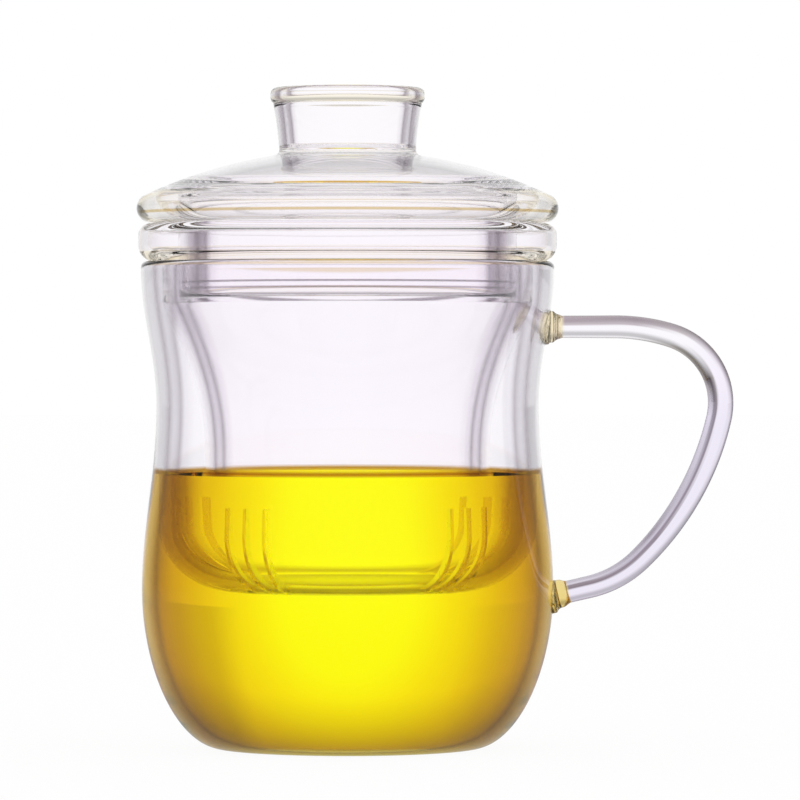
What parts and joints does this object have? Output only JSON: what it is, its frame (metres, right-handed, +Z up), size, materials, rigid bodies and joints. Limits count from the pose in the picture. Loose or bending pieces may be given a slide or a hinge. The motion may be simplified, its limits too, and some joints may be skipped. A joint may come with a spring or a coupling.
{
  "type": "lidded tea mug with infuser",
  "caption": "Waisted glass tea mug with a rod handle, a hanging slitted glass infuser with a hollow collar, and a lift-off domed glass lid with a cup-shaped knob.",
  "frame": {"origin": "centre of the mug's flat foot, on the table and on the mug's axis", "axes": "+Z up along the mug's axis, +X towards the handle, +Y away from a viewer who has the handle on the right"},
  "size_m": [0.124, 0.087, 0.1361],
  "materials": {
    "clear_glass": "clear, fire-polished",
    "rod_glass": "clear, drawn",
    "weld_glass": "clear, flame-worked",
    "infuser_glass": "clear, fire-polished",
    "lid_glass": "clear, fire-polished",
    "tea": "clear liquid"
  },
  "bodies": {
    "mug": {"mug_body": "clear_glass", "handle_rod": "rod_glass", "upper_handle_weld": "weld_glass", "lower_handle_weld": "weld_glass", "tea": "tea"},
    "infuser": {"infuser": "infuser_glass"},
    "lid": {"lid_dome": "lid_glass", "lid_skirt": "lid_glass", "lid_knob": "lid_glass", "knob_weld": "weld_glass"}
  },
  "joints": [
    {"name": "infuser_lift", "type": "slide", "parent": "mug", "child": "infuser", "axis": [0, 0, 1], "range_m": [0, 0.12], "deforming": ["tea"]},
    {"name": "lid_lift", "type": "slide", "parent": "infuser", "child": "lid", "axis": [0, 0, 1], "range_m": [0, 0.06]}
  ]
}
